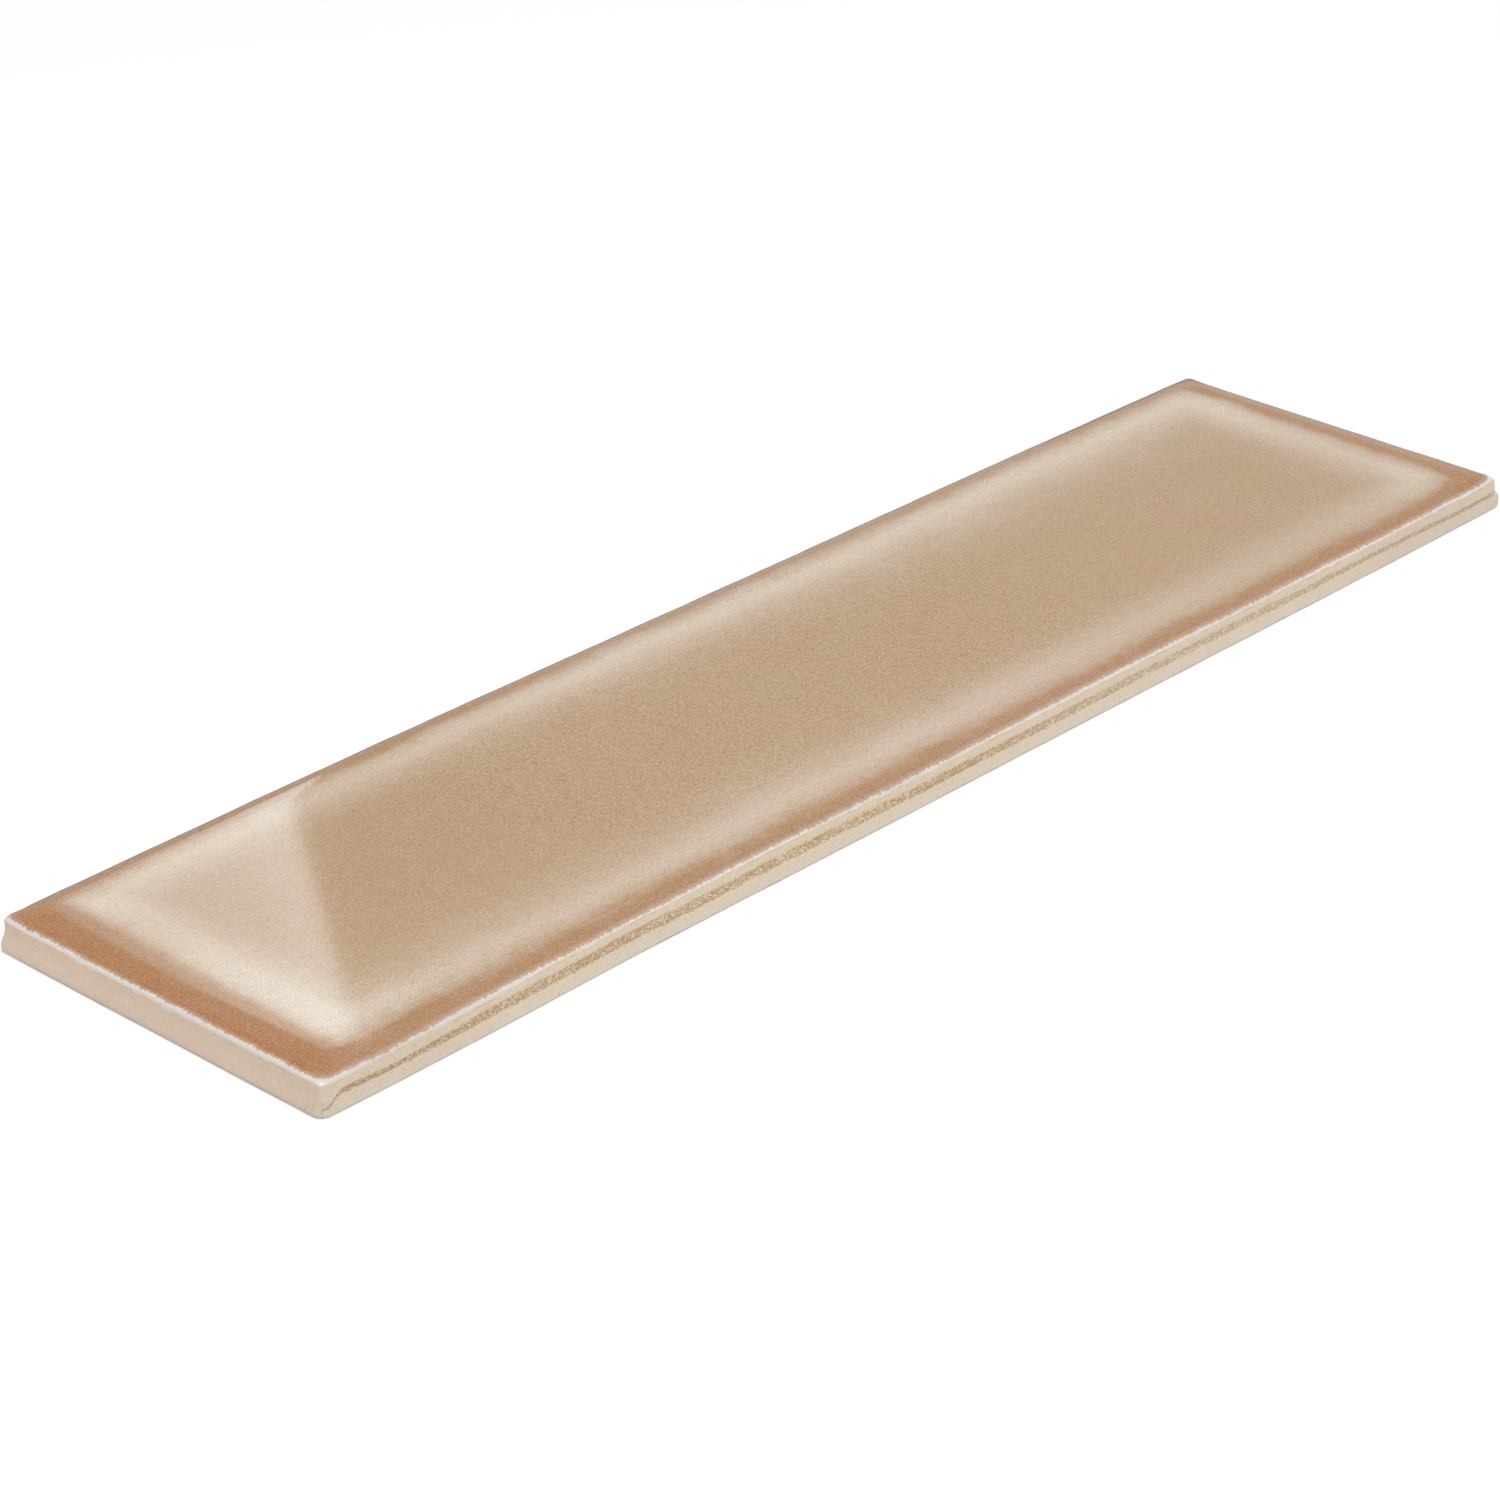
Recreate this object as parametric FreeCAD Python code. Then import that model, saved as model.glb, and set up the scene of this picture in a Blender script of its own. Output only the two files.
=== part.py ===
import FreeCAD, Part
import math
import os

from FreeCAD import Vector

# A glazed wall tile, pressed and fired as one piece, lying face up on its back.
# Millimetres. +X along the tile, +Y across it, +Z up. Origin at the centre of the back.

# Driving dimensions
LENGTH = 300.0  # along X, over the pressed lip
WIDTH = 75.0  # along Y, over the pressed lip
THICKNESS = 6.5  # from the back to the flat of the face
LIP_PROUD = 0.5  # how far the lip stands out past the wall above it
LIP_TOP = 2.2  # height where the upright part of the lip ends
SHOULDER_TOP = 3.4  # height where the slope above the lip meets the upper wall
CORNER_RADIUS = 1.6  # of the lip, in plan
BACK_EDGE_RADIUS = 0.7  # between the back and the lip
CROWN_WIDTH = 5.0  # margin of the face that curves down to its edge
CROWN_DROP = 0.33  # how far the face would be down where it reaches the wall
ARRIS_RADIUS = 0.8  # between the face and the upper wall

# The crown's arc is level where the flat of the face begins, and the arris rolls inside it
crown_radius = (CROWN_WIDTH**2 + CROWN_DROP**2) / (2 * CROWN_DROP)
crown_centre_z = THICKNESS - crown_radius
arris_run = CROWN_WIDTH - ARRIS_RADIUS
arris_rise = math.sqrt((crown_radius - ARRIS_RADIUS) ** 2 - arris_run**2)
arris_centre_z = crown_centre_z + arris_rise
arris_angle = math.atan2(arris_rise, arris_run)


def arc(centre_x, centre_z, radius, start, end):
    """An arc in the XZ plane from one angle to another, in radians."""
    points = []
    for angle in (start, (start + end) / 2, end):
        x = centre_x + radius * math.cos(angle)
        z = centre_z + radius * math.sin(angle)
        points.append(Vector(x, 0, z))
    return Part.Arc(*points).toShape()


def half_section(reach):
    """Half of the cross-section in the XZ plane, from the middle at x = 0 to the lip at x = reach."""
    wall_x = reach - LIP_PROUD
    crown_x = wall_x - CROWN_WIDTH
    back_x = reach - BACK_EDGE_RADIUS
    arris_x = wall_x - ARRIS_RADIUS
    middle_foot = Vector(0, 0, 0)
    lip_foot = Vector(reach, 0, BACK_EDGE_RADIUS)
    lip_head = Vector(reach, 0, LIP_TOP)
    wall_foot = Vector(wall_x, 0, SHOULDER_TOP)
    wall_head = Vector(wall_x, 0, arris_centre_z)
    crown_head = Vector(crown_x, 0, THICKNESS)
    middle_head = Vector(0, 0, THICKNESS)
    edges = [
        Part.makeLine(middle_foot, Vector(back_x, 0, 0)),
        arc(back_x, BACK_EDGE_RADIUS, BACK_EDGE_RADIUS, -math.pi / 2, 0),
        Part.makeLine(lip_foot, lip_head),
        Part.makeLine(lip_head, wall_foot),
        Part.makeLine(wall_foot, wall_head),
        arc(arris_x, arris_centre_z, ARRIS_RADIUS, 0, arris_angle),
        arc(crown_x, crown_centre_z, crown_radius, arris_angle, math.pi / 2),
        Part.makeLine(crown_head, middle_head),
        Part.makeLine(middle_head, middle_foot),
    ]
    return Part.Face(Part.Wire(edges))


def rounded_corner():
    """The outer end of the section, turned through a quarter circle about a vertical axis."""
    reach = CROWN_WIDTH + LIP_PROUD + CORNER_RADIUS
    section = half_section(reach)
    section.translate(Vector(CORNER_RADIUS - reach, 0, 0))
    outside = Part.makeBox(CORNER_RADIUS, CORNER_RADIUS, THICKNESS, Vector(0, -CORNER_RADIUS / 2, 0))
    outer_section = section.common(outside).Faces[0]
    return outer_section.revolve(Vector(0, 0, 0), Vector(0, 0, 1), 90)


def quarter_tile():
    """The tile's quarter towards +X +Y: its edges meet in a mitre, and the corner is rounded."""
    end_edge = half_section(LENGTH / 2).extrude(Vector(0, WIDTH / 2, 0))
    side_edge = half_section(WIDTH / 2).extrude(Vector(0, -LENGTH / 2, 0))
    side_edge.rotate(Vector(0, 0, 0), Vector(0, 0, 1), 90)
    corner_axis = Vector(LENGTH / 2 - CORNER_RADIUS, WIDTH / 2 - CORNER_RADIUS, 0)
    square_corner = Part.makeBox(CORNER_RADIUS, CORNER_RADIUS, THICKNESS, corner_axis)
    round_corner = rounded_corner()
    round_corner.translate(corner_axis)
    return end_edge.common(side_edge).cut(square_corner).fuse(round_corner)


def wall_tile():
    """The quarter, mirrored to the other end and then to the other side."""
    centre = Vector(0, 0, 0)
    quarter = quarter_tile()
    half = quarter.fuse(quarter.mirror(centre, Vector(1, 0, 0)))
    whole = half.fuse(half.mirror(centre, Vector(0, 1, 0)))
    return whole.removeSplitter().Solids[0]


os.makedirs("parts", exist_ok=True)
tile = wall_tile()
tile.exportStep("parts/wall_tile.step")
box = tile.optimalBoundingBox()
print("valid solid:", tile.isValid(), " faces:", len(tile.Faces))
print("size: %.3f x %.3f x %.3f mm" % (box.XLength, box.YLength, box.ZLength))
print("volume: %.2f cubic cm" % (tile.Volume / 1000))
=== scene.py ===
import math

import bmesh
import bpy
import numpy as np
from mathutils import Matrix, Vector, noise


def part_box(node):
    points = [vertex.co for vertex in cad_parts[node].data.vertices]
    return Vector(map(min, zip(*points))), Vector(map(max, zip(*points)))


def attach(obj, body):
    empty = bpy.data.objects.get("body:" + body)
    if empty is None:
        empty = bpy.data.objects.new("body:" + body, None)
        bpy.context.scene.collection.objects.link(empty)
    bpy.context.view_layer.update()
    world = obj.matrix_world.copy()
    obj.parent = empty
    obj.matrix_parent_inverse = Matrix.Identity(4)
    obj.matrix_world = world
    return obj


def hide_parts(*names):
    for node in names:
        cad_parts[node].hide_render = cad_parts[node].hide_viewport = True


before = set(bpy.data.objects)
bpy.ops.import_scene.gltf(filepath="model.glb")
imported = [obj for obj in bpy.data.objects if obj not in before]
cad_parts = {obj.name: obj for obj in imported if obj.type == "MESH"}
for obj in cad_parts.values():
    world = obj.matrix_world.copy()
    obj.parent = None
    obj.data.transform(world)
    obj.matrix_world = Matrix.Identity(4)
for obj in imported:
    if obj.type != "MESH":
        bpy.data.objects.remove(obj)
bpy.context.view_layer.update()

# The tile lies face up with its middle over the origin. +X runs along it and +Y away from the
# camera. Lengths are in millimetres in the shape functions and become metres in the mesh.
MM = 0.001
_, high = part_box("wall_tile")
HALF_LENGTH = high[0] / MM
HALF_WIDTH = high[1] / MM
THICKNESS = high[2] / MM

# Edge profile
FOOT_RADIUS = 0.15  # between the back and the lip
LIP_TOP = 2.2
SHOULDER_TOP = 3.4
LIP_PROUD = 0.5
ARRIS_RADIUS = 0.8
CROWN_WIDTH = 5.0
CROWN_DROP = 0.33
WALL_TOP = THICKNESS - 1.0  # about where the wall passes into the arris

# The corners differ, in the order near left, near right, far right, far left
CORNERS = ((-1, -1), (1, -1), (1, 1), (-1, 1))
LIP_CORNER_RADII = (2.1, 1.1, 1.6, 1.6)
WALL_CORNER_RADII = (0.75, 1.7, 1.2, 1.35)
FOOT_CORNER_RADII = (0.3, 0.9, 0.15, 0.5)
FOOT_CORNER_REACH = 4.0
FLAT_CORNER_RADIUS = 5.0  # of the flat of the face, inside the crown

# Mesh density
STATION_SPACING = 0.75
CORNER_BLOCK = 12.0
CORNER_STEPS = 10
FOOT_STEPS = 5
LIP_STEPS = 6
SHOULDER_STEPS = 6
WALL_STEPS = 7
ARRIS_STEPS = 7
CROWN_STEPS = 9
STRAIGHT_X = HALF_LENGTH - CORNER_BLOCK
STRAIGHT_Y = HALF_WIDTH - CORNER_BLOCK
STEPS_X = 2 * round(STRAIGHT_X / STATION_SPACING)
STEPS_Y = 2 * round(STRAIGHT_Y / STATION_SPACING)
COUNT_X = STEPS_X + 3 * CORNER_STEPS  # stations from the middle of one corner to the next, along X
COUNT_Y = STEPS_Y + 3 * CORNER_STEPS
STATIONS = 2 * (COUNT_X + COUNT_Y)

# How far the glazed edge and the lip wander in from the straight, as (place along the side, distance)
NEAR_EDGE_WANDER = [(-150, -0.46), (-130, -0.42), (-115, -0.10), (-100, 0.21), (-70, 0.49), (-40, 0.47),
                    (0, 0.21), (60, 0.19), (100, -0.09), (150, -0.14)]
FAR_EDGE_WANDER = [(-150, 0.68), (-125, 0.20), (-100, -0.17), (-75, -0.42), (-52, -0.47), (-25, -0.38),
                   (10, -0.27), (95, -0.27), (125, -0.13), (150, 0.08)]
RIGHT_EDGE_WANDER = [(-37.5, 0.38), (-20, 0.66), (0, 0.83), (37.5, 1.0)]
NEAR_LIP_WANDER = [(-150, 0.0), (-115, 0.0), (-103, 0.2), (-90, 0.44), (-65, 0.47), (-45, 0.38),
                   (-28, 0.3), (0, 0.35), (30, 0.35), (60, 0.33), (85, 0.27), (120, 0.27), (140, 0.36),
                   (150, 0.36)]
LEFT_LIP_WANDER = [(-37.5, 0.2), (-10, 0.12), (37.5, 0.03)]
LIP_INSET = 0.03
MOST_LIP_INSET = 1.0
LEAST_INSET = 0.01
WANDER_FADE = (0.2, 1.0)  # shares of the crown's width over which the wandering dies out
BATTER = 0.25  # how much further in the wall's top is than its foot, at the near right corner
BATTER_REACH = 7.0

# Fine unevenness, as layers of (millimetres, wavelength, seed)
EDGE_RIPPLES = [(0.07, 9.0, 1), (0.03, 2.5, 2)]
LIP_RIPPLES = [(0.04, 11.0, 3)]
BURR_RIPPLES = [(0.10, 2.4, 4), (0.08, 5.5, 5)]
RIPPLE_GAIN = 1.6
SEED_STEP = (17.3, 5.1, 9.7)

# How the glaze pooled, as (millimetres in from the glazed edge, flow) for each side. Flow is -1 in
# the caramel border, 0 on the pale line inside it and 1 in the field.
LEFT_FLOW = [(0, -1.0), (7.3, -0.74), (9.6, -0.42), (11.6, -0.12), (15.2, 0.08), (18.6, 0.5), (21.8, 0.85),
             (30, 1.3)]
RIGHT_FLOW = [(0, -0.9), (5.8, -0.62), (7.3, -0.4), (11.3, 0.0), (17.1, 0.5), (20.7, 0.8), (31, 1.3)]
NEAR_FLOW = [(0, -0.9), (3.5, -0.62), (6.1, -0.4), (9.8, 0.0), (14.7, 0.5), (19.5, 0.8), (30, 1.3)]
NEAR_FLOW_END = [(0, -0.9), (3.5, -0.62), (5.3, -0.4), (9.4, 0.0), (14.7, 0.5), (17.1, 0.8), (28, 1.3)]
FAR_FLOW = [(0, -0.9), (2.4, -0.62), (3.8, -0.4), (6.7, 0.0), (11.2, 0.5), (14.2, 0.8), (25, 1.3)]
FAR_FLOW_END = [(0, -0.9), (2.5, -0.62), (4.2, -0.4), (7.5, 0.0), (13.6, 0.5), (18.2, 0.8), (30, 1.3)]
FLOW_CHANGE_X = (-60, 60)  # over which the long sides pass to the flow of their right-hand end
CORNER_EASE = 0.10
CORNER_POOLS = [(150, -37.5, 11.0, 0.52), (150, 37.5, 9.0, 0.20)]  # (x, y, radius, how much deeper)

# How much wider the caramel border is there, as (place along X, millimetres)
NEAR_WIDEN = [(-150, 0.3), (-110, 0.35), (-80, 0.2), (-55, 0.1), (0, 0.0), (150, 0.0)]
FAR_WIDEN = [(-150, 1.0), (-118, 0.9), (-98, 0.4), (-75, 0.1), (-50, 0.0), (150, 0.0)]

# How strong the pale line is, from 0 to 1, as (place along the side, strength)
NEAR_HALO = [(-150, 0.78), (-132, 0.90), (-126, 0.92), (-120, 0.76), (-110, 0.71), (-60, 0.70), (-10, 0.70),
             (40, 0.57), (90, 0.45), (115, 0.48), (126, 0.54), (134, 0.74), (141, 0.60), (150, 0.50)]
FAR_HALO = [(-150, 0.72), (-90, 0.68), (-60, 0.74), (-20, 0.92), (30, 0.92), (150, 0.98)]
LEFT_HALO = [(-37, 0.95), (-27, 0.95), (-18, 0.88), (-8, 0.84), (2, 0.72), (12, 0.60), (20, 0.64),
             (25, 0.80), (29, 0.95), (37, 0.95)]
RIGHT_HALO = [(-37, 0.98), (-28, 0.98), (-22, 0.86), (-15, 0.76), (-5, 0.72), (4, 0.76), (15, 0.90),
              (25, 1.0), (37, 1.0)]

# The left margin of the face tips down a little further in than the others
LEFT_TILT = [(3.6, 0.0), (4.6, 0.5), (5.3, 1.0), (5.7, 1.0), (7.1, 0.0)]  # (mm from the lip, share)
LEFT_TILT_DEGREES = 2.2
LEFT_TILT_REACH = 8
LEFT_TILT_PLACES = 161

# The left end flares between these heights, where the other sides have a ledge
FLARE_BOTTOM = 0.5
FLARE_TOP = 4.2
FLARE_REACH = (1.0, 7.0)  # mm from the left end over which it passes into the ledge

# The pressing line on the near side, as (place along X, millimetres)
SEAM_HEIGHT = [(-150, 1.3), (-148.6, 1.6), (-147.8, 2.1), (-147, 2.85), (-146, 3.35), (-144, 3.45),
               (-141, 3.33), (-137, 3.17), (-125, 3.25), (-107, 3.6), (-100, 3.5), (-85, 3.7), (-70, 3.52),
               (-50, 3.63), (-30, 3.55), (0, 3.42), (30, 3.5), (60, 3.58), (72, 3.7), (86, 3.45),
               (100, 3.6), (116, 3.6), (131, 3.3), (150, 3.3)]
SEAM_HALF_BAND = [(-150, 0.05), (-148, 0.27), (-145, 0.42), (-140, 0.40), (-132, 0.42), (-120, 0.50),
                  (-100, 0.58), (-60, 0.53), (-20, 0.52), (40, 0.53), (90, 0.47), (110, 0.38), (150, 0.36)]
NO_SEAM = 6  # stands for a point so many half bands from the line
LEDGE_MIDDLE = 2.8  # of the shoulder, where the pressing line runs
LEDGE_LOWEST = 2.5  # the shoulder doesn't follow the line further down
LEDGE_SHIFT_BOTTOM = 0.9  # the heights between which the shoulder's shift dies out
LEDGE_SHIFT_TOP = 5.0

# How much lower the bare rim reaches, and how much lower it starts, as (place, millimetres)
RIM_DROP = [(-150, 0.3), (-142, 0.45), (-130, 0.25), (-120, 0.5), (-110, 0.45), (-104, 0.15), (-85, 0.14),
            (-70, 0.1), (-45, 0.1), (-30, 0.25), (0, 0.2), (20, 0.1), (60, 0.22), (75, 0.25), (120, 0.2),
            (150, 0.0)]
NEAR_RIM_SINK = [(-150, -0.5), (-147, -0.1), (-144, 0.1), (-140, 0.25), (-125, 0.1), (-111, 0.0),
                 (-100, 0.16), (-85, 0.20), (-50, 0.10), (-30, 0.28), (0, 0.18), (25, 0.0), (60, 0.15),
                 (75, 0.25), (90, 0.10), (120, 0.18), (140, 0.0), (150, 0.0)]
HIDDEN_RIM_DROP = 0.35  # on the far and the right side
HIDDEN_RIM_FADE = (1.0, 5.0)  # mm from the ends of those sides
LEFT_RIM_DROP = [(-37, 0.15), (-31, 0.35), (-15, 0.55), (5, 0.5), (25, 0.55), (37, 0.5)]  # along Y
LEFT_RIM_SINK = [(-37, -0.6), (-34, -0.2), (-31, -0.05), (-27, -0.05), (-12, 0.0), (-5, 0.0), (5, 0.08),
                 (28, 0.12), (32, 0.08), (35, -0.1), (37, -0.5)]
RIGHT_CORNER_RIM = 0.9  # how much further in the bare rim reaches at the near right corner
RIGHT_CORNER_RIM_FADE = (4.0, 1.8)  # mm from that corner
BARE_CORNER_FADE = (3.2, 1.6)  # mm from that corner, where the wall is bare as well
BARE_CORNER_Z = (2.0, 3.2)

SIDE_BLEND = 1.2  # mm over which one side passes into the next at a corner
FLAT_RIM = 5  # mm from the arris that the flat of the face counts as, past the crown


def smooth_curve(points, at):
    """A smooth line through a few (place, value) points."""
    xs = np.array([p[0] for p in points], float)
    ys = np.array([p[1] for p in points], float)
    slopes = np.gradient(ys, xs)
    k = np.clip(np.searchsorted(xs, at) - 1, 0, len(xs) - 2)
    run = xs[k + 1] - xs[k]
    t = np.clip((at - xs[k]) / run, 0, 1)
    keep, lead = (1 + 2 * t) * (1 - t) ** 2, t * (1 - t) ** 2 * run
    reach, trail = t**2 * (3 - 2 * t), t**2 * (t - 1) * run
    return keep * ys[k] + lead * slopes[k] + reach * ys[k + 1] + trail * slopes[k + 1]


def smoothstep(edge0, edge1, value):
    """0 where value is at edge0, 1 where it is at edge1, smooth between."""
    t = np.clip((value - edge0) / (edge1 - edge0), 0, 1)
    return t * t * (3 - 2 * t)


def ripple(points, wavelength, seed):
    """Smooth noise between about -1 and 1 at each point of an (n, 3) array in millimetres."""
    scale = 1 / wavelength
    offset = Vector([seed * step for step in SEED_STEP])
    values = [noise.noise(Vector(p) * scale + offset) for p in points]
    return np.array(values) * RIPPLE_GAIN


def ripples(outline, layers):
    """Layers of such noise round the tile, added up."""
    points = np.column_stack([outline, np.zeros(len(outline))])
    return sum(amount * ripple(points, wavelength, seed) for amount, wavelength, seed in layers)


def arc_points(centre, radius, start, end, steps):
    """Evenly spaced points on an arc, from start to end in degrees."""
    angles = np.radians(np.linspace(start, end, steps + 1))
    return [(centre[0] + radius * math.cos(a), centre[1] + radius * math.sin(a)) for a in angles]


def line_points(start, end, steps):
    """Evenly spaced points on a straight line."""
    return [(start[0] + (end[0] - start[0]) * t, start[1] + (end[1] - start[1]) * t)
            for t in np.linspace(0, 1, steps + 1)]


def corner_share(points, values, plain, reach):
    """The corners' own values near them, and plain elsewhere."""
    result = np.full(len(points), float(plain))
    for (sign_x, sign_y), value in zip(CORNERS, values):
        gap = np.hypot(points[:, 0] - sign_x * HALF_LENGTH, points[:, 1] - sign_y * HALF_WIDTH)
        result += (value - plain) * np.exp(-((gap / reach) ** 2))
    return result


def edge_profile():
    """(inset from the lip, height) from the back up to the flat, and how far past the arris each is."""
    crown_radius = (CROWN_WIDTH**2 + CROWN_DROP**2) / (2 * CROWN_DROP)
    crown_z = THICKNESS - crown_radius
    run = CROWN_WIDTH - ARRIS_RADIUS
    rise = math.sqrt((crown_radius - ARRIS_RADIUS) ** 2 - run**2)
    tilt = math.degrees(math.atan2(rise, run))
    arris_z = crown_z + rise
    flat_inset = LIP_PROUD + CROWN_WIDTH
    # in these arcs x runs outward, so the inset is its negative
    back = arc_points((-FOOT_RADIUS, FOOT_RADIUS), FOOT_RADIUS, -90, 0, FOOT_STEPS)
    lip = line_points((0, FOOT_RADIUS), (0, LIP_TOP), LIP_STEPS)
    shoulder = line_points((0, LIP_TOP), (-LIP_PROUD, SHOULDER_TOP), SHOULDER_STEPS)
    wall = line_points((-LIP_PROUD, SHOULDER_TOP), (-LIP_PROUD, arris_z), WALL_STEPS)
    arris = arc_points((-LIP_PROUD - ARRIS_RADIUS, arris_z), ARRIS_RADIUS, 0, tilt, ARRIS_STEPS)
    crown = arc_points((-flat_inset, crown_z), crown_radius, tilt, 90, CROWN_STEPS)
    points = back + lip[1:] + shoulder[1:] + wall[1:] + arris[1:] + crown[1:]
    inset = np.array([-p[0] for p in points])
    height = np.array([p[1] for p in points])
    travel = np.concatenate([[0], np.cumsum(np.hypot(np.diff(inset), np.diff(height)))])
    arris_start = FOOT_STEPS + LIP_STEPS + SHOULDER_STEPS + WALL_STEPS
    arris_middle = (travel[arris_start] + travel[arris_start + ARRIS_STEPS]) / 2
    return inset, height, travel - arris_middle


def corner(inset, radius):
    """The far right corner at one inset, from the right side round to the far side."""
    a, b = HALF_LENGTH - inset, HALF_WIDTH - inset
    points = line_points((a, STRAIGHT_Y), (a, b - radius), CORNER_STEPS)
    points += arc_points((a - radius, b - radius), radius, 0, 90, CORNER_STEPS)[1:]
    points += line_points((a - radius, b), (STRAIGHT_X, b), CORNER_STEPS)[1:]
    return np.array(points)


def ring(inset, radii):
    """Points round the tile at one inset, from the middle of the near left corner, anticlockwise."""
    near_left = corner(inset, radii[0]) * (-1, -1)
    near_right = corner(inset, radii[1])[::-1] * (1, -1)
    far_right = corner(inset, radii[2])
    far_left = corner(inset, radii[3])[::-1] * (-1, 1)
    right_x, far_y = HALF_LENGTH - inset, HALF_WIDTH - inset
    right = np.array(line_points((right_x, -STRAIGHT_Y), (right_x, STRAIGHT_Y), STEPS_Y))
    far = np.array(line_points((STRAIGHT_X, far_y), (-STRAIGHT_X, far_y), STEPS_X))
    half = len(near_left) // 2
    loop = [near_left[half:-1], far[::-1] * (1, -1), near_right[1:-1], right, far_right[1:-1], far,
            far_left[1:-1], right[::-1] * (-1, 1), near_left[1:half]]
    return np.concatenate(loop)


def ring_radii(inset, opening):
    """The four corner radii of every ring, those of the lip, then the wall's, then the flat's."""
    lip_radii, wall_radii = np.array(LIP_CORNER_RADII), np.array(WALL_CORNER_RADII)
    lip_part = np.clip(inset / LIP_PROUD, 0, 1)
    radii = lip_radii + (wall_radii - lip_radii) * lip_part[:, None]
    return radii + (FLAT_CORNER_RADIUS - wall_radii) * np.clip(opening, 0, 1)[:, None]


def side_weights(points):
    """How far each point belongs to the near, far, left and right side, from 0 to 1."""
    near_gap = points[:, 1] + HALF_WIDTH
    far_gap = HALF_WIDTH - points[:, 1]
    left_gap = points[:, 0] + HALF_LENGTH
    right_gap = HALF_LENGTH - points[:, 0]
    gaps = np.stack([near_gap, far_gap, left_gap, right_gap])
    share = np.exp(-gaps / SIDE_BLEND)
    return share / share.sum(0)


def glaze_flow(points):
    """Where the glaze pooled, and how pale its pale line is: those of each side, joined smoothly."""
    x, y = points[:, 0], points[:, 1]

    def side(gap, near_end, far_end=None, widen=0):
        depth = np.maximum(gap - LIP_PROUD - widen, 0)
        flow = smooth_curve(near_end, depth)
        if far_end:
            flow += smoothstep(*FLOW_CHANGE_X, x) * (smooth_curve(far_end, depth) - flow)
        return flow

    sides = np.array([side(x + HALF_LENGTH, LEFT_FLOW), side(HALF_LENGTH - x, RIGHT_FLOW),
                      side(y + HALF_WIDTH, NEAR_FLOW, NEAR_FLOW_END, smooth_curve(NEAR_WIDEN, x)),
                      side(HALF_WIDTH - y, FAR_FLOW, FAR_FLOW_END, smooth_curve(FAR_WIDEN, x))])
    share = np.exp(-sides / CORNER_EASE)
    halos = np.array([smooth_curve(LEFT_HALO, y), smooth_curve(RIGHT_HALO, y), smooth_curve(NEAR_HALO, x),
                      smooth_curve(FAR_HALO, x)])
    flow = -CORNER_EASE * np.log(share.sum(0))
    for pool_x, pool_y, radius, depth in CORNER_POOLS:
        flow = flow - depth * np.exp(-((x - pool_x) ** 2 + (y - pool_y) ** 2) / radius**2)
    return flow, (share * halos).sum(0) / share.sum(0)


def pressing_seam(points, near):
    """How far above the rough line left by the press a point of the near side is, in half bands."""
    x = points[:, 0]
    height = smooth_curve(SEAM_HEIGHT, x)
    half_band = smooth_curve(SEAM_HALF_BAND, x)
    return np.where(near > 0.5, (points[:, 2] - height) / half_band, NO_SEAM)


def left_margin_drop(points):
    """How far the left margin of the face is down, from its slope added up towards the edge."""
    gap = np.linspace(0, LEFT_TILT_REACH, LEFT_TILT_PLACES)
    slope = np.interp(gap, [p[0] for p in LEFT_TILT], [p[1] for p in LEFT_TILT])
    slope = slope * math.tan(math.radians(LEFT_TILT_DEGREES))
    drop = np.cumsum(slope[::-1])[::-1] * (gap[1] - gap[0])
    on_wall = smoothstep(SHOULDER_TOP, WALL_TOP, points[:, 2])
    return on_wall * np.interp(points[:, 0] + HALF_LENGTH, gap, drop)


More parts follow.
